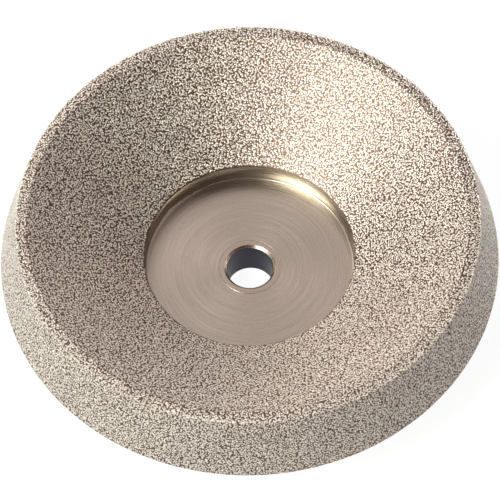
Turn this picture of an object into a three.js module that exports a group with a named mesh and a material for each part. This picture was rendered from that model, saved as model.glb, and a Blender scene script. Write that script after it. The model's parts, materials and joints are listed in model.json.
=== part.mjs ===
// A dish-shaped diamond grinding wheel, as three.js meshes in millimetres.
//
// +Z is up, out of the open dish, along the axis that the wheel turns on. The origin is the centre of the
// back face. The wheel is a steel body turned from one bar, with a steel reducing bush pressed into its
// bore, and a single layer of diamond grit bonded in nickel on the three faces that grind: the cone inside
// the dish, the flat rim, and the steep bevel outside.
//
// Every piece is round, so each one is an outline in the plane of radius and height, turned about the axis.
import * as THREE from "three";

// ---- Driving dimensions: millimetres, and degrees for angles ----
const wheelDiameter = 101.6; // across the widest edge, where the outer bevel ends
const bevelHeight = 14.5; // from the widest edge up to the rim
const bevelAngle = 15; // the outer bevel's lean from the axis
const rimWidth = 2.3; // the flat ring on top
const coneAngle = 30; // the inside cone's rise from the level
const recessDiameter = 42.9; // the plain flange recess at the bottom of the dish
const recessDepth = 4.8; // from the recess's mouth down to its floor
const recessCornerRadius = 0.4; // left by the nose of the turning tool
const webThickness = 8.7; // from the back face up to the recess's floor
const backAngle = 30; // the rise of the cone underneath from the level
const backEdgeRadius = 4; // the round between the back face and the cone underneath
const edgeBand = 0.6; // bare steel below the grit at the widest edge
const boreDiameter = 9.525; // 3/8 in, for the spindle
const bushWall = 1.5875; // 1/16 in, so the bush is 1/2 in across
const bushStandOut = 0.1; // how far the bush stands above the recess's floor
const boreChamfer = 0.5; // on both ends of the bore
const bushEdgeChamfer = 0.1; // on both outer ends of the bush
const gritThickness = 0.4; // one layer of coarse diamonds in its nickel bond

// ---- Clearances: the real pieces touch here ----
const bondGap = 0.05; // between the body and the grit on it, and between two bands of grit
const bushGap = 0.05; // between the bush and the hole that it is pressed into

// ---- How finely round stretches are drawn ----
const facets = 96; // around the axis
const cornerSteps = 4; // around the recess's corner and the back edge

// ---- Worked-out places ----
const radians = THREE.MathUtils.degToRad;
const coneSlope = radians(coneAngle);
const bevelLean = radians(bevelAngle);
const wheelRadius = wheelDiameter / 2;
const recessRadius = recessDiameter / 2;
const boreRadius = boreDiameter / 2;
const bushRadius = boreRadius + bushWall;
const rimOuterRadius = wheelRadius - bevelHeight * Math.tan(bevelLean);
const rimInnerRadius = rimOuterRadius - rimWidth;
const mouthHeight = webThickness + recessDepth;
const rimHeight = mouthHeight + (rimInnerRadius - recessRadius) * Math.tan(coneSlope);
const edgeHeight = rimHeight - bevelHeight;
const bushTop = webThickness + bushStandOut;

// ---- Materials ----
const turnedSteel = { color: 0x9c9288, roughness: 0.42, metalness: 1 };
const boredSteel = { color: 0x8a8580, roughness: 0.38, metalness: 1 };
const gritInNickel = { color: 0xa39b8c, roughness: 0.7, metalness: 0.8 };

// The four corners of the grinding faces, seen in section from the recess's mouth over the rim and down to
// the widest edge, at a depth below the surface of the grit. The two corners of the rim are mitred. The
// line stops upright over the recess's wall and level with the widest edge.
function cornersAtDepth(depth) {
  return {
    mouth: [recessRadius, mouthHeight - depth / Math.cos(coneSlope)],
    rimInner: [rimInnerRadius + depth * Math.tan(coneSlope / 2), rimHeight - depth],
    rimOuter: [rimOuterRadius - depth * Math.tan(Math.PI / 4 - bevelLean / 2), rimHeight - depth],
    edge: [wheelRadius - depth / Math.cos(bevelLean), edgeHeight],
  };
}

// Points on an arc in the section plane, turning from one angle to another, in degrees from +radius.
function arc([centreRadius, centreHeight], radius, fromAngle, toAngle, steps) {
  const points = [];
  for (let step = 0; step <= steps; step += 1) {
    const angle = radians(fromAngle + ((toAngle - fromAngle) * step) / steps);
    points.push([centreRadius + radius * Math.cos(angle), centreHeight + radius * Math.sin(angle)]);
  }
  return points;
}

// Turns a closed outline of [radius, height] points about the axis. The outline runs anticlockwise, with
// radius to the right and height upwards, so that the faces point out.
function turned(name, outline, material) {
  const profile = [...outline, outline[0]].map(([radius, height]) => new THREE.Vector2(radius, height));
  const geometry = new THREE.LatheGeometry(profile, facets);
  geometry.rotateX(Math.PI / 2);
  const mesh = new THREE.Mesh(geometry, new THREE.MeshStandardMaterial(material));
  mesh.name = name;
  return mesh;
}

// The steel wheel itself: a level back face, a cone underneath up to the widest edge, the three faces that
// carry the grit, and the recess with its flat floor. Its bore is the hole that the bush is pressed into.
function wheelBody() {
  const bearing = cornersAtDepth(gritThickness + bondGap);
  const [bodyRadius] = bearing.edge;
  const bandBottom = edgeHeight - edgeBand;
  const backRadius = bodyRadius - bandBottom / Math.tan(radians(backAngle));
  const backCentre = [backRadius - backEdgeRadius * Math.tan(radians(backAngle) / 2), backEdgeRadius];
  const cornerCentre = [recessRadius - recessCornerRadius, webThickness + recessCornerRadius];
  const seatRadius = bushRadius + bushGap;
  return turned(
    "wheel_body",
    [
      [seatRadius, 0],
      ...arc(backCentre, backEdgeRadius, -90, backAngle - 90, cornerSteps),
      [bodyRadius, bandBottom],
      bearing.edge,
      bearing.rimOuter,
      bearing.rimInner,
      bearing.mouth,
      ...arc(cornerCentre, recessCornerRadius, 0, -90, cornerSteps),
      [seatRadius, webThickness],
    ],
    turnedSteel,
  );
}

// The reducing bush, flush with the back face and a little proud of the recess's floor.
function boreBush() {
  return turned(
    "bore_bush",
    [
      [boreRadius + boreChamfer, 0],
      [bushRadius - bushEdgeChamfer, 0],
      [bushRadius, bushEdgeChamfer],
      [bushRadius, bushTop - bushEdgeChamfer],
      [bushRadius - bushEdgeChamfer, bushTop],
      [boreRadius + boreChamfer, bushTop],
      [boreRadius, bushTop - boreChamfer],
      [boreRadius, boreChamfer],
    ],
    boredSteel,
  );
}

// One band of grit between two of the corners, from its surface down to its bond with the body. Each end
// that meets another band is drawn back by half the gap, along the band.
function gritBand(name, from, to, gapAtFrom, gapAtTo) {
  const surface = cornersAtDepth(0);
  const bond = cornersAtDepth(gritThickness);
  const along = new THREE.Vector2(...surface[to]).sub(new THREE.Vector2(...surface[from])).normalize();
  const moved = ([radius, height], distance) => [radius + along.x * distance, height + along.y * distance];
  return turned(
    name,
    [
      moved(bond[from], gapAtFrom),
      moved(surface[from], gapAtFrom),
      moved(surface[to], -gapAtTo),
      moved(bond[to], -gapAtTo),
    ].reverse(),
    gritInNickel,
  );
}

const wheel = new THREE.Group();
wheel.add(
  wheelBody(),
  boreBush(),
  gritBand("cone_grit", "mouth", "rimInner", 0, bondGap / 2),
  gritBand("rim_grit", "rimInner", "rimOuter", bondGap / 2, bondGap / 2),
  gritBand("bevel_grit", "rimOuter", "edge", bondGap / 2, 0),
);

export default wheel;
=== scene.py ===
# %% [markdown]
# # A diamond grinding wheel
# The wheel is a steel dish, turned on a lathe from one bar, with a small steel bush in its bore. Diamond
# crystals lie one layer deep on the cone inside the dish, on the flat rim and on the steep bevel
# outside, and nickel grown by electroplating holds them there. Everything is round about one axis, so
# almost every surface here is an outline of radius and height, carried round that axis with numpy.

# %% Load the measured frame
import json
import math

import bpy
import numpy as np
from mathutils import Matrix, Vector


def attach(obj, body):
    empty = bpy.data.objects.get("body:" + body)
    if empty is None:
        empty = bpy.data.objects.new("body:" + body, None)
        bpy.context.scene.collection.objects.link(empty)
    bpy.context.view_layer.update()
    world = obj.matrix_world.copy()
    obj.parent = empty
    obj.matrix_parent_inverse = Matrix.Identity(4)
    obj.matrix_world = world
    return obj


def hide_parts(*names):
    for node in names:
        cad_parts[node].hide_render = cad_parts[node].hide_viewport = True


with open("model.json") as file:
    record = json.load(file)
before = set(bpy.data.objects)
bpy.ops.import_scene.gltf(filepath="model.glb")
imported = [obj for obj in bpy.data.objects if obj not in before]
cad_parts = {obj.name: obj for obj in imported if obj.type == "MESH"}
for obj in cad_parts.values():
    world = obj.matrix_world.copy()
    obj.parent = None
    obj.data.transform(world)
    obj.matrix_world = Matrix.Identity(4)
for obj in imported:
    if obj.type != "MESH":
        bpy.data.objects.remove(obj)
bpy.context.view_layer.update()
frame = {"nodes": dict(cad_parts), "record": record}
print("nodes:", sorted(frame["nodes"]))

# %% [markdown]
# ## Sizes
# The design already fixes the sizes, so they are read off it and not typed in again. A node's radii and
# heights come from the points of its mesh, and the recess's floor from the mount that stands on it.
# The two slopes are the only shape facts that a box can't tell, so they are named here.

# %% Read the sizes
MM = 0.001
CONE_RISE = math.radians(30)  # inside cone, from the level
BEVEL_LEAN = math.radians(15)  # outer bevel, from the axis
BACK_RISE = math.radians(30)  # cone underneath, from the level
GRIT_DEPTH = 0.4 * MM  # from the tips of the grit down to the steel


def reach(node):
    """Smallest and largest distance from the axis, then lowest and highest point, of a node's mesh."""
    mesh = frame["nodes"][node].data
    points = np.empty(len(mesh.vertices) * 3)
    mesh.vertices.foreach_get("co", points)
    x, y, z = points.reshape(-1, 3).T
    radius = np.hypot(x, y)
    return radius.min(), radius.max(), z.min(), z.max()


floor_height = next(m["pos_m"][2] for m in frame["record"]["mounts"] if m["name"] == "flange_seat")
bore_radius, bush_radius, _, _ = reach("bore_bush")
recess_radius, _, cone_bottom, _ = reach("cone_grit")
rim_height = reach("rim_grit")[3]
_, edge_radius, edge_height, _ = reach("bevel_grit")
rim_outer = edge_radius - (rim_height - edge_height) * math.tan(BEVEL_LEAN)
mouth_height = cone_bottom + GRIT_DEPTH / math.cos(CONE_RISE)
rim_inner = recess_radius + (rim_height - mouth_height) / math.tan(CONE_RISE)
print(f"wheel {2 * edge_radius / MM:.1f} mm across and {rim_height / MM:.1f} mm high")
print(f"cone from radius {recess_radius / MM:.2f} to {rim_inner / MM:.2f} mm")
print(f"mouth at {mouth_height / MM:.2f} mm")

# %% [markdown]
# ## From an outline to a solid
# On a lathe the work turns and the tool draws the outline. The same thing is done here: the outline's
# points are repeated at every angle, which gives a grid that closes on itself both ways round. An
# outline runs anticlockwise, with radius to the right and height upwards, and then every face points
# out.

# %% Helpers for turned shapes
TURN_STEPS = 512


def carried_round(outline, steps=TURN_STEPS):
    """Grid of points: for angle a and outline point (r, h), x = r cos a, y = r sin a and z = h."""
    angle = np.linspace(0, 2 * np.pi, steps, endpoint=False)[:, None]
    radius, height = np.asarray(outline, float).T
    across = radius * np.cos(angle), radius * np.sin(angle)
    return np.stack([*across, np.broadcast_to(height, across[0].shape)], axis=-1)


def closed_grid_faces(rows, columns):
    """Quads between each grid point and its neighbours ahead and above, wrapping round both ways."""
    row, column = np.meshgrid(np.arange(rows), np.arange(columns), indexing="ij")
    ahead, above = (row + 1) % rows, (column + 1) % columns
    corners = [(row, column), (ahead, column), (ahead, above), (row, above)]
    return np.stack([r * columns + c for r, c in corners], axis=-1).reshape(-1, 4)


def new_mesh(name, points, faces, smooth):
    """A mesh from an array of points and an array of faces that all have the same number of corners."""
    mesh = bpy.data.meshes.new(name)
    mesh.vertices.add(len(points))
    mesh.vertices.foreach_set("co", np.ascontiguousarray(points, np.float32).ravel())
    mesh.loops.add(faces.size)
    mesh.loops.foreach_set("vertex_index", np.ascontiguousarray(faces, np.int32).ravel())
    mesh.polygons.add(len(faces))
    mesh.polygons.foreach_set("loop_start", np.arange(len(faces), dtype=np.int32) * faces.shape[1])
    mesh.polygons.foreach_set("use_smooth", np.full(len(faces), smooth))
    mesh.update(calc_edges=True)
    mesh.validate()
    return mesh


def turned_mesh(name, outline, steps=TURN_STEPS):
    """Mesh of an outline carried round the axis, softly shaded."""
    points = carried_round(outline, steps)
    return new_mesh(name, points.reshape(-1, 3), closed_grid_faces(steps, len(outline)), True)


def new_piece(name, mesh, slot, *nodes):
    """Puts a mesh in the scene in place of its design nodes, riding on the wheel's one body."""
    piece = bpy.data.objects.new(name, mesh)
    bpy.context.scene.collection.objects.link(piece)
    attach(piece, "root")
    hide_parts(*nodes)
    triangles = sum(len(p.vertices) - 2 for p in mesh.polygons)
    print(f"{name}: {triangles} triangles")
    return piece


print("a round piece has", TURN_STEPS, "steps round the axis")

# %% [markdown]
# ## Rounded corners
# No real edge is perfectly sharp, and a thin bright line along an edge is what tells the eye that it is
# metal. Each corner of an outline gets a small arc. A spare point just outside each end of the arc stops
# the soft shading of the arc from spreading over the flat beside it.

# %% Round an outline's corners
ARC_STEPS = 4
GUARD = 0.35  # how far outside the arc the spare points stand, as a share of its tangent length


def rounded(corners):
    """Outline from (radius, height, corner radius) rows. An arc of radius R touches both sides of a
    corner at R times the tangent of half the turn from it, and its centre is R in from both sides."""
    spots = np.array([corner[:2] for corner in corners])
    outline = []
    for index, (_, _, size) in enumerate(corners):
        here, before, after = spots[index], spots[index - 1], spots[(index + 1) % len(spots)]
        if size == 0:
            outline.append(here)
            continue
        into, out = here - before, after - here
        into, out = into / np.linalg.norm(into), out / np.linalg.norm(out)
        turn = math.atan2(into[0] * out[1] - into[1] * out[0], into @ out)
        tangent = size * abs(math.tan(turn / 2))
        inward = np.array([-into[1], into[0]]) * math.copysign(1, turn)
        centre = here - into * tangent + inward * size
        first = here - into * tangent - centre
        angles = np.linspace(0, turn, ARC_STEPS + 1)
        arc_x = centre[0] + first[0] * np.cos(angles) - first[1] * np.sin(angles)
        arc_y = centre[1] + first[0] * np.sin(angles) + first[1] * np.cos(angles)
        outline.append(here - into * tangent * (1 + GUARD))
        outline.extend(np.stack([arc_x, arc_y], axis=-1))
        outline.append(here + out * tangent * (1 + GUARD))
    return np.array(outline)


print("a rounded corner has", ARC_STEPS + 3, "points")

# %% [markdown]
# ## Materials
# One small function adds a node with its settings and links, and another turns the hex colours of a
# paint chart into the linear numbers that the renderer works in.


# %% Node and colour helpers
def linear(hex_colour):
    """sRGB hex to linear: below 0.04045 divide by 12.92, else the 2.4 power of (c + 0.055) / 1.055."""
    channels = [int(hex_colour[i : i + 2], 16) / 255 for i in (1, 3, 5)]
    return [c / 12.92 if c <= 0.04045 else ((c + 0.055) / 1.055) ** 2.4 for c in channels] + [1.0]


def add(material, kind, links=None, values=None, **settings):
    """Adds a node, sets its properties and its inputs' values, and links outputs to its inputs."""
    node = material.node_tree.nodes.new(kind)
    for name, value in settings.items():
        setattr(node, name, value)
    for name, value in (values or {}).items():
        node.inputs[name].default_value = value
    for name, output in (links or {}).items():
        material.node_tree.links.new(output, node.inputs[name])
    return node


def new_material(name, **values):
    """A material with a Principled shader, whose sockets get the values that are the same all over."""
    material = bpy.data.materials.new(name)
    material.use_nodes = True
    shader = material.node_tree.nodes["Principled BSDF"]
    for socket, value in values.items():
        shader.inputs[socket.replace("_", " ")].default_value = value
    return material, shader


print("the hex grey #808080 is", round(linear("#808080")[0], 3), "of full light")

# %% [markdown]
# ### Turned steel
# Bare mild steel, faced on a lathe. The tool leaves fine rings about the axis, so the surface scatters
# light far across the rings and little along them: that is anisotropy, with its tangent along the
# rings. The rings are a noise that changes quickly with radius and height but slowly with angle.


# %% Turned steel
RING_WIDTH = 0.22 * MM  # tool feed, drawn a little coarser than a real finishing cut so that it shows
NOISE_RANGE = (0.3, 0.7)  # the noise seldom leaves this range, so the tones are spread over it
SHINE_CHANGE = 0.15  # share by which the roughness differs from ring to ring
QUARTER_TURN = 0.25  # turns the sheen so that it fans out across the rings


def turned_metal(name, colour, dark_colour, roughness, anisotropy, bump_distance):
    """Metal with tool rings. The noise reads the radius plus the height, over the ring width, and the
    direction from the axis, which closes on itself at every angle."""
    material, shader = new_material(
        name, Metallic=1.0, Anisotropic=anisotropy, Anisotropic_Rotation=QUARTER_TURN
    )
    links = material.node_tree.links
    place = add(material, "ShaderNodeTexCoord").outputs["Object"]
    parts = add(material, "ShaderNodeSeparateXYZ", {"Vector": place})
    flat = add(material, "ShaderNodeCombineXYZ", {"X": parts.outputs["X"], "Y": parts.outputs["Y"]})
    radius = add(material, "ShaderNodeVectorMath", {0: flat.outputs[0]}, operation="LENGTH")
    heading = add(material, "ShaderNodeVectorMath", {0: flat.outputs[0]}, operation="NORMALIZE")
    heading_parts = add(material, "ShaderNodeSeparateXYZ", {"Vector": heading.outputs[0]})
    sum_inputs = {0: radius.outputs["Value"], 1: parts.outputs["Z"]}
    depth = add(material, "ShaderNodeMath", sum_inputs, operation="ADD")
    per_ring = {1: 1 / RING_WIDTH}
    across = add(material, "ShaderNodeMath", {0: depth.outputs[0]}, per_ring, operation="MULTIPLY")
    ring_place = add(
        material,
        "ShaderNodeCombineXYZ",
        {"X": across.outputs[0], "Y": heading_parts.outputs["X"], "Z": heading_parts.outputs["Y"]},
    )
    rings = add(
        material,
        "ShaderNodeTexNoise",
        {"Vector": ring_place.outputs[0]},
        {"Scale": 1.0, "Detail": 3.0, "Roughness": 0.6},
    )
    tone = add(material, "ShaderNodeValToRGB", {"Fac": rings.outputs["Fac"]})
    tone.color_ramp.elements[0].position = NOISE_RANGE[0]
    tone.color_ramp.elements[0].color = linear(dark_colour)
    tone.color_ramp.elements[1].position = NOISE_RANGE[1]
    tone.color_ramp.elements[1].color = linear(colour)
    links.new(tone.outputs["Color"], shader.inputs["Base Color"])
    shine = add(
        material,
        "ShaderNodeMapRange",
        {"Value": rings.outputs["Fac"]},
        {
            "From Min": NOISE_RANGE[0],
            "From Max": NOISE_RANGE[1],
            "To Min": roughness * (1 - SHINE_CHANGE),
            "To Max": roughness * (1 + SHINE_CHANGE),
        },
    )
    links.new(shine.outputs["Result"], shader.inputs["Roughness"])
    grooves = add(
        material,
        "ShaderNodeBump",
        {"Height": rings.outputs["Fac"]},
        {"Strength": 1.0, "Distance": bump_distance},
    )
    links.new(grooves.outputs["Normal"], shader.inputs["Normal"])
    tangent = add(material, "ShaderNodeTangent", direction_type="RADIAL", axis="Z")
    links.new(tangent.outputs["Tangent"], shader.inputs["Tangent"])
    return material


# Faced with a fine feed and never polished: warm grey, with a sheen that fans out across the tool rings.
turned_steel = turned_metal("turned_mild_steel", "#bab0a3", "#a59c8f", 0.28, 0.55, 0.0015 * MM)
# The bush is a separate turning, so its rings and its tone differ a little from the wheel's.
bored_steel = turned_metal("bored_bush_steel", "#b8ab9f", "#a5988c", 0.28, 0.5, 0.001 * MM)
# Painted shade: the bore's steel is given a dark bluish colour that stands in for the dark surroundings
# it reflects.
bore_steel_painted_dark = turned_metal("bore_steel_with_painted_shade", "#35333d", "#2d2b35", 0.42, 0.2, 0.001 * MM)
print("turned steel rings:", RING_WIDTH / MM, "mm")

# %% [markdown]
# ### Electroplated nickel and diamonds
# The bond is nickel that grew atom by atom in a plating bath, so it is matt and lumpy. Its dark brown is
# partly the nickel's own colour and partly painted shade for the hollows between the grains, where
# little light gets in. The diamonds are cream to straw coloured and blocky. Their real colour comes from
# light that goes into a crystal and out again, which would be slow to trace for tens of thousands of
# them, so they are drawn as a bright satin metal-like skin instead.


# %% Nickel and diamond
LUMP_SIZE = 0.3 * MM
LUMP_HEIGHT = 0.05 * MM
LUMP_RANGE = (0.35, 0.65)  # of the noise, from the darkest nickel to the lightest


def nickel_bond():
    """Matt nickel, browner where the noise is low. Its dark brown is partly the nickel's own colour and
    partly painted shade for the hollows between the grains.
    """
    material, shader = new_material("nickel_bond_and_painted_shade", Metallic=1.0, Roughness=0.48)
    place = add(material, "ShaderNodeTexCoord").outputs["Object"]
    lumps = add(
        material,
        "ShaderNodeTexNoise",
        {"Vector": place},
        {"Scale": 1 / LUMP_SIZE, "Detail": 2.0, "Roughness": 0.6},
    )
    tone = add(material, "ShaderNodeValToRGB", {"Fac": lumps.outputs["Fac"]})
    # Both ends of the ramp are dark: the nickel's own brown, darkened further as painted shade for the
    # hollows between the grains.
    tone.color_ramp.elements[0].position = LUMP_RANGE[0]
    tone.color_ramp.elements[0].color = linear("#4f3e3a")
    tone.color_ramp.elements[1].position = LUMP_RANGE[1]
    tone.color_ramp.elements[1].color = linear("#7c695f")
    material.node_tree.links.new(tone.outputs["Color"], shader.inputs["Base Color"])
    bump = add(
        material,
        "ShaderNodeBump",
        {"Height": lumps.outputs["Fac"]},
        {"Strength": 1.0, "Distance": LUMP_HEIGHT},
    )
    material.node_tree.links.new(bump.outputs["Normal"], shader.inputs["Normal"])
    return material


def diamond_grit():
    """Each crystal has its own tone, from an attribute that is the same at all its corners."""
    material, shader = new_material("cream_diamond_grit", Metallic=1.0, Roughness=0.28)
    grain = add(material, "ShaderNodeAttribute", attribute_name="grain")
    tone = add(material, "ShaderNodeValToRGB", {"Fac": grain.outputs["Fac"]})
    tone.color_ramp.elements[0].color = linear("#c2bcb1")
    tone.color_ramp.elements[1].color = linear("#e6e0d5")
    material.node_tree.links.new(tone.outputs["Color"], shader.inputs["Base Color"])
    return material


bond_nickel_and_shade = nickel_bond()
grit = diamond_grit()
print("grit:", grit.name, "in", bond_nickel_and_shade.name)

# %% [markdown]
# ## The wheel's body
# One solid turning: a flat back face, a cone underneath that thins the dish to keep it light, three
# faces cut back to leave room for the grit, and a recess with a flat floor that the flange nut bears on.
# The nose of the turning tool leaves a small round where the recess's wall meets its floor. A narrow
# band at the widest edge stays bare, because it is masked off in the plating bath.

# %% Wheel body
BUSH_SEAM = 0.006 * MM  # the hairline between the bush and the hole it is pressed into
BARE_BAND = 0.6 * MM
BACK_ROUND = 4 * MM
TOOL_NOSE = 0.4 * MM
DEBURRED = 0.15 * MM
SEAT_ROUND_BACK = 0.1 * MM  # on the hole's edge at the back
SEAT_ROUND_FLOOR = 0.02 * MM  # on the hole's edge at the recess's floor, where the bush fills it
seat_radius = bush_radius + BUSH_SEAM
body_radius = edge_radius - GRIT_DEPTH / math.cos(BEVEL_LEAN)
band_bottom = edge_height - BARE_BAND
back_radius = body_radius - band_bottom / math.tan(BACK_RISE)
body_outline = rounded(
    [
        (seat_radius, 0, SEAT_ROUND_BACK),
        (back_radius, 0, BACK_ROUND),
        (body_radius, band_bottom, DEBURRED),
        (body_radius, edge_height, 0),
        (rim_outer - GRIT_DEPTH * math.tan(math.pi / 4 - BEVEL_LEAN / 2), rim_height - GRIT_DEPTH, 0),
        (rim_inner + GRIT_DEPTH * math.tan(CONE_RISE / 2), rim_height - GRIT_DEPTH, 0),
        (recess_radius, mouth_height - GRIT_DEPTH / math.cos(CONE_RISE), 0),
        (recess_radius, floor_height, TOOL_NOSE),
        (seat_radius, floor_height, SEAT_ROUND_FLOOR),
    ]
)
body_mesh = turned_mesh("wheel_body_steel", body_outline)
body_mesh.materials.append(turned_steel)
new_piece("wheel_body_steel", body_mesh, "turned_steel", "wheel_body")

# %% [markdown]
# ## The bush
# A thin steel sleeve is pressed into the hole, so that one wheel fits more than one size of spindle. It
# is faced almost flush with the recess's floor after pressing, and then only a hairline shows. Both ends
# of its bore are chamfered, and the chamfer facing the light is the brightest spot near the middle.

# %% Bore bush
BUSH_STEPS = 192
BORE_CHAMFER = 0.5 * MM
BUSH_CHAMFER = 0.04 * MM
BUSH_ROUND = 0.02 * MM
CHAMFER_ROUND = 0.05 * MM
BUSH_PROUD = 0.04 * MM  # what the facing cut leaves above the recess's floor
BORE_MARGIN = 0.02 * MM  # a point this close to the bore's radius counts as on the bore
bush_face = floor_height + BUSH_PROUD
bush_outline = rounded(
    [
        (bore_radius + BORE_CHAMFER, 0, CHAMFER_ROUND),
        (bush_radius - BUSH_CHAMFER, 0, BUSH_ROUND),
        (bush_radius, BUSH_CHAMFER, BUSH_ROUND),
        (bush_radius, bush_face - BUSH_CHAMFER, BUSH_ROUND),
        (bush_radius - BUSH_CHAMFER, bush_face, BUSH_ROUND),
        (bore_radius + BORE_CHAMFER, bush_face, CHAMFER_ROUND),
        (bore_radius, bush_face - BORE_CHAMFER, CHAMFER_ROUND),
        (bore_radius, BORE_CHAMFER, CHAMFER_ROUND),
    ]
)
bush_mesh = turned_mesh("bore_bush_steel", bush_outline, BUSH_STEPS)
bush_mesh.materials.append(bored_steel)
bush_mesh.materials.append(bore_steel_painted_dark)
# Faces in the bore take the second material, the steel painted dark as shade.
near_bore = bush_outline[:, 0] < bore_radius + BORE_MARGIN
in_bore = near_bore & np.roll(near_bore, -1)
bush_mesh.polygons.foreach_set("material_index", np.tile(in_bore.astype(np.int32), BUSH_STEPS))
new_piece("bore_bush_steel", bush_mesh, "bored_steel", "bore_bush")

# %% [markdown]
# ## Grit
# One layer of diamonds is tacked to the steel, and then nickel is plated up between them until more
# than half of each one is buried. So each band is two things: a thin ring of nickel, and on it thousands
# of separate crystals. Instancing on a surface would be the quick way, but then every crystal would be
# alike, so their corners are worked out as one array, with a size, a turn and a depth for each.

# %% Nickel between the grains
SEED = 7
rng = np.random.default_rng(SEED)
GRAIN_PITCH = 0.41 * MM
GRAIN_SIZE = 0.48 * MM  # across the widest part, which is buried
STAND_OUT = 0.11 * MM  # how far the tallest grains stand out of the nickel


def corner_at(depth):
    """Edge, outer and inner corner of the rim, and mouth, at a depth under the tips of the grit."""
    return np.array(
        [
            (edge_radius - depth / math.cos(BEVEL_LEAN), edge_height),
            (rim_outer - depth * math.tan(math.pi / 4 - BEVEL_LEAN / 2), rim_height - depth),
            (rim_inner + depth * math.tan(CONE_RISE / 2), rim_height - depth),
            (recess_radius, mouth_height - depth / math.cos(CONE_RISE)),
        ]
    )


def bond_shell(start):
    """Ring of nickel from one corner to the next, between the steel and the foot of the bare tips."""
    top, base = corner_at(STAND_OUT), corner_at(GRIT_DEPTH)
    points = carried_round([top[start], top[start + 1], base[start + 1], base[start]])
    return new_mesh("nickel_bond", points.reshape(-1, 3), closed_grid_faces(*points.shape[:2]), False)


print(f"the nickel is {(GRIT_DEPTH - STAND_OUT) / MM:.2f} mm thick")
print(f"the tips stand {STAND_OUT / MM:.2f} mm out of it")

# %% [markdown]
# ### Where the grains lie
# Grains tip off a sieve at random, but they can't lie inside each other, so they end up spread out
# without forming rows. Even rows with every place moved at random give nearly that, with no search for
# neighbours. A place that falls off the end of the band is folded back onto it.

# %% Places for the grains
WANDER = 0.5  # the most that a grain strays from its place in the row, as a share of the pitch


def scattered(start, end, pitch):
    """Rows of places along the slope, each row spread evenly round the axis, and then every place moved
    at random by a good part of the pitch. The number in a row is its length round the axis over the
    pitch, and rows stand closer than that by half the root of three, as in a honeycomb."""
    length = np.linalg.norm(end - start)
    rows = max(1, round(length / (pitch * math.sqrt(3) / 2)))
    middle = (np.arange(rows) + 0.5) / rows
    in_row = np.round(2 * np.pi * (start[0] + (end[0] - start[0]) * middle) / pitch).astype(int)
    row = np.repeat(np.arange(rows), in_row)
    step = np.arange(len(row)) - (np.cumsum(in_row) - in_row)[row]
    share = middle[row] + rng.uniform(-WANDER, WANDER, len(row)) * pitch / length
    share = 1 - np.abs(1 - np.abs(share))
    radius, height = start[:, None] + (end - start)[:, None] * share
    angle = (step + rng.uniform(0, 1, rows)[row]) / in_row[row] * 2 * np.pi
    angle = angle + rng.uniform(-WANDER, WANDER, len(row)) * pitch / radius
    return radius, height, angle


print(f"a grain strays by up to {WANDER * GRAIN_PITCH / MM:.2f} mm")

# %% [markdown]
# ### The shape of a crystal
# A blocky diamond that sinks into nickel shows only its top, with corners that the plating has softened.
# Three rings of four corners are enough for that: a small top, a shoulder turned by an eighth of a turn,
# and the widest part, which is buried. The shading is soft, so that each grain catches one glint.

# %% Crystals
LEAN = math.radians(7)  # how far a typical crystal leans
SIZE_SPREAD = (0.72, 1.22)  # smallest and largest width, as shares of the size
SQUASH = 0.95  # height over width
quarter = np.arange(4) * np.pi / 2
# Each ring's radius and height, as shares of the width, and its turn.
RINGS = [(0.20, 0.0, 0.0), (0.38, -0.06, np.pi / 8), (0.50, -0.26, np.pi / 8)]
CRYSTAL = np.concatenate(
    [
        np.stack([ring * np.cos(quarter + twist), ring * np.sin(quarter + twist), np.full(4, depth)], -1)
        for ring, depth, twist in RINGS
    ]
)
around, onward = np.arange(4), (np.arange(4) + 1) % 4
# Two triangles close the top, two close the foot, and eight join each ring to the next.
CRYSTAL_FACES = np.concatenate(
    [[[0, 1, 2], [0, 2, 3], [8, 10, 9], [8, 11, 10]]]
    + [np.stack([around + n, around + n + 4, onward + n], -1) for n in (0, 4)]
    + [np.stack([onward + n, around + n + 4, onward + n + 4], -1) for n in (0, 4)]
)


def crystals(radius, height, angle, out, size, sink, lean):
    """Each crystal has its own widths and spin, leans a little from the outward direction, and sinks by
    up to the given depth under its place. None reaches above the flat rim."""
    count = len(radius)
    cos, sin, zero = np.cos(angle), np.sin(angle), np.zeros(count)
    round_axis = np.stack([-sin, cos, zero], -1)
    out_axis = np.stack([out[0] * cos, out[0] * sin, zero + out[1]], -1)
    out_axis = out_axis + rng.normal(0, math.tan(lean), (count, 3))
    out_axis /= np.linalg.norm(out_axis, axis=1)[:, None]
    slope_axis = np.cross(out_axis, round_axis)
    slope_axis /= np.linalg.norm(slope_axis, axis=1)[:, None]
    round_axis = np.cross(slope_axis, out_axis)
    spin = rng.uniform(0, 2 * np.pi, count)
    turned_x = round_axis * np.cos(spin)[:, None] + slope_axis * np.sin(spin)[:, None]
    turned_y = slope_axis * np.cos(spin)[:, None] - round_axis * np.sin(spin)[:, None]
    widths = size * rng.uniform(*SIZE_SPREAD, (count, 1, 3)) * [1, 1, SQUASH]
    local = CRYSTAL * widths
    depth = rng.uniform(0, sink, count)[:, None]
    tip = np.stack([radius * cos, radius * sin, height], -1) - out_axis * depth
    axes = np.stack([turned_x, turned_y, out_axis], 1)
    points = tip[:, None] + np.einsum("nki,nij->nkj", local, axes)
    points[..., 2] = np.minimum(points[..., 2], rim_height)
    return points


def diamond_mesh(name, points):
    """One mesh of many crystals, with a random number for each crystal, which gives it its tone."""
    count = len(points)
    faces = CRYSTAL_FACES + len(CRYSTAL) * np.arange(count)[:, None, None]
    mesh = new_mesh(name, points.reshape(-1, 3), faces.reshape(-1, 3), True)
    tone = mesh.attributes.new("grain", "FLOAT", "POINT")
    each_corner = np.repeat(rng.uniform(size=count), len(CRYSTAL))
    tone.data.foreach_set("value", each_corner.astype(np.float32))
    mesh.materials.append(grit)
    return mesh


print("a crystal has", len(CRYSTAL_FACES), "triangles")

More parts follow.
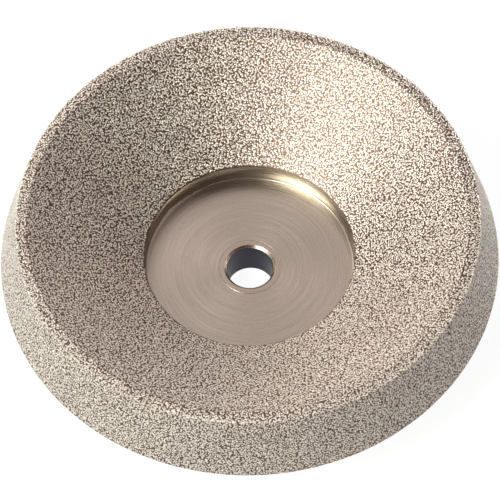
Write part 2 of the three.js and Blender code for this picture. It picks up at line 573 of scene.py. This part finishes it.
# %% Put crystals in the scene
MOST_CRYSTALS = 9900  # in one piece, which keeps it under 200,000 triangles
SINK = 0.08 * MM  # the most that a tip lies under the tallest tips


def place_crystals(name, points, node):
    """Shares the crystals out over as many pieces as they need."""
    parts = math.ceil(len(points) / MOST_CRYSTALS)
    for number, share in enumerate(np.array_split(points, parts), 1):
        part = f"{name}_{number}" if parts > 1 else name
        new_piece(part, diamond_mesh(part, share), "diamond_grit", node)


print("a piece holds up to", MOST_CRYSTALS, "crystals")

# %% The three bands of grit
CORNER_INSET = 0.1 * MM  # grains don't hold right on a corner
MISSING = 0.05  # share of the places where no diamond took hold
tips = corner_at(0)
outward = {}
for band, start in (("bevel", 0), ("rim", 1), ("cone", 2)):
    bond = bond_shell(start)
    bond.materials.append(bond_nickel_and_shade)
    new_piece(f"{band}_nickel_bond", bond, "diamond_grit", f"{band}_grit")
    along = (tips[start + 1] - tips[start]) / np.linalg.norm(tips[start + 1] - tips[start])
    outward[band] = np.array([along[1], -along[0]])
    inset = along * CORNER_INSET
    places = np.array(scattered(tips[start] + inset, tips[start + 1] - inset, GRAIN_PITCH))
    places = places[:, rng.uniform(size=places.shape[1]) > MISSING]
    points = crystals(*places, outward[band], GRAIN_SIZE, SINK, LEAN)
    place_crystals(f"{band}_diamonds", points, f"{band}_grit")

# %% [markdown]
# ### Build-up on the rim's outer edge
# A plating current crowds at a sharp edge, so nickel grows thicker there and holds on to bigger
# diamonds. They stand in a loose row, lean more than the others, and make that edge glitter.

# %% Heavier grains along the rim's outer edge
EDGE_PITCH = 0.8 * MM
EDGE_SIZE = 0.58 * MM
EDGE_BAND = 0.25 * MM  # how far in from the corner they stand
along_rim = (tips[2] - tips[1]) / np.linalg.norm(tips[2] - tips[1])
edge_places = scattered(tips[1], tips[1] + along_rim * EDGE_BAND, EDGE_PITCH)
edge_points = crystals(*edge_places, outward["rim"], EDGE_SIZE, SINK / 2, 2 * LEAN)
place_crystals("rim_edge_diamonds", edge_points, "rim_grit")

# %% [markdown]
# ## Camera
# The camera looks down into the dish from far away through a long lens, so that the far side of the rim
# looks hardly smaller than the near side. It is rolled by two degrees, as a hand-held camera would be.
# Its middle line passes close to the centre of the widest edge.

# %% Camera
ELEVATION = math.radians(58.4)
ROLL = math.radians(2.04)
CAMERA_DISTANCE = 20 * edge_radius
LENS = 359  # in millimetres, for a sensor 36 mm wide
SENSOR = 36
AIM_RIGHT = 0.09 * MM
AIM_UP = 1.53 * MM
aim = Vector((0, 0, edge_height))
back = Vector((0, -math.cos(ELEVATION), math.sin(ELEVATION)))
level_right = Vector((1, 0, 0))
level_up = back.cross(level_right)
right = math.cos(ROLL) * level_right - math.sin(ROLL) * level_up
up = math.sin(ROLL) * level_right + math.cos(ROLL) * level_up
aim += AIM_RIGHT * right + AIM_UP * up
camera_data = bpy.data.cameras.new("camera")
camera_data.sensor_width = SENSOR
camera_data.lens = LENS
camera = bpy.data.objects.new("camera", camera_data)
facing = Matrix((right, up, back)).transposed().to_4x4()
camera.matrix_world = Matrix.Translation(aim + back * CAMERA_DISTANCE) @ facing
bpy.context.scene.collection.objects.link(camera)
bpy.context.scene.camera = camera
print(f"camera {CAMERA_DISTANCE:.2f} m away with a {LENS} mm lens")

# %% [markdown]
# ## Table and light
# The wheel lies on a white table whose top glows by itself, so that it stays white right up to the
# wheel. Two softboxes in front on the left are the key light. Metal shows a lamp only where its slope is
# right, and so the key lights up the far right of the cone and leaves the far left dark. Weak lamps
# behind the wheel light the near side, and a faint pink glow from all round lifts the shadows.

# %% Table
FLOOR = 3.0  # half of the table's side, in metres
TABLE_GLOW = 0.93
UNDER = -0.1 * MM  # the table is just below the wheel, so the two surfaces don't coincide
floor_corners = [(x * FLOOR, y * FLOOR, UNDER) for x, y in ((-1, -1), (1, -1), (1, 1), (-1, 1))]
floor_mesh = bpy.data.meshes.new("floor")
floor_mesh.from_pydata(floor_corners, [], [(0, 1, 2, 3)])
floor = bpy.data.objects.new("floor", floor_mesh)
bpy.context.scene.collection.objects.link(floor)
TABLE_GREY = (0.1, 0.1, 0.1, 1)  # dark, so that hardly any of its white comes from the lamps
floor_material, floor_shader = new_material("white_table", Base_Color=TABLE_GREY, Roughness=0.7)
floor_shader.inputs["Emission Color"].default_value = (1, 1, 1, 1)
floor_shader.inputs["Emission Strength"].default_value = TABLE_GLOW
floor_mesh.materials.append(floor_material)
print("table", 2 * FLOOR, "m across")


# %% Light
LAMP_DISTANCE = 0.9


def softbox(name, azimuth, elevation, side, power, colour):
    """A square lamp that faces the wheel. Azimuth 0 is +X and 90 is behind the wheel, in degrees."""
    data = bpy.data.lights.new(name, "AREA")
    data.shape = "SQUARE"
    data.size = side
    data.energy = power
    data.color = colour
    lamp = bpy.data.objects.new(name, data)
    bearing, rise = math.radians(azimuth), math.radians(elevation)
    level = math.cos(rise)
    toward = Vector((math.cos(bearing) * level, math.sin(bearing) * level, math.sin(rise)))
    lamp.location = Vector((0, 0, edge_height)) + toward * LAMP_DISTANCE
    lamp.rotation_euler = toward.to_track_quat("Z", "Y").to_euler()
    bpy.context.scene.collection.objects.link(lamp)
    print(f"{name}: {power} W")


KEY_WHITE = (0.97, 1.0, 0.93)
FILL_WHITE = (1.0, 0.94, 0.93)
softbox("key_softbox_left", 203, 50, 0.46, 8.8, KEY_WHITE)
softbox("key_softbox_front", 223, 43, 0.46, 7.8, KEY_WHITE)
softbox("low_back_softbox", 105, 12, 0.48, 2.7, FILL_WHITE)
softbox("low_side_softbox", 53, 7, 0.48, 1.9, FILL_WHITE)
softbox("high_back_spot", 124, 42, 0.3, 1.0, FILL_WHITE)
softbox("high_back_softbox", 112, 54, 0.7, 1.3, FILL_WHITE)
softbox("high_side_softbox", 28, 61, 0.48, 0.5, FILL_WHITE)

GLOW_COLOUR = (1.0, 0.5, 0.6, 1)
GLOW_STRENGTH = 0.1
world = bpy.data.worlds.new("pink_glow")
bpy.context.scene.world = world
world.use_nodes = True
world.node_tree.nodes["Background"].inputs["Color"].default_value = GLOW_COLOUR
world.node_tree.nodes["Background"].inputs["Strength"].default_value = GLOW_STRENGTH
bpy.context.scene.view_settings.view_transform = "Standard"
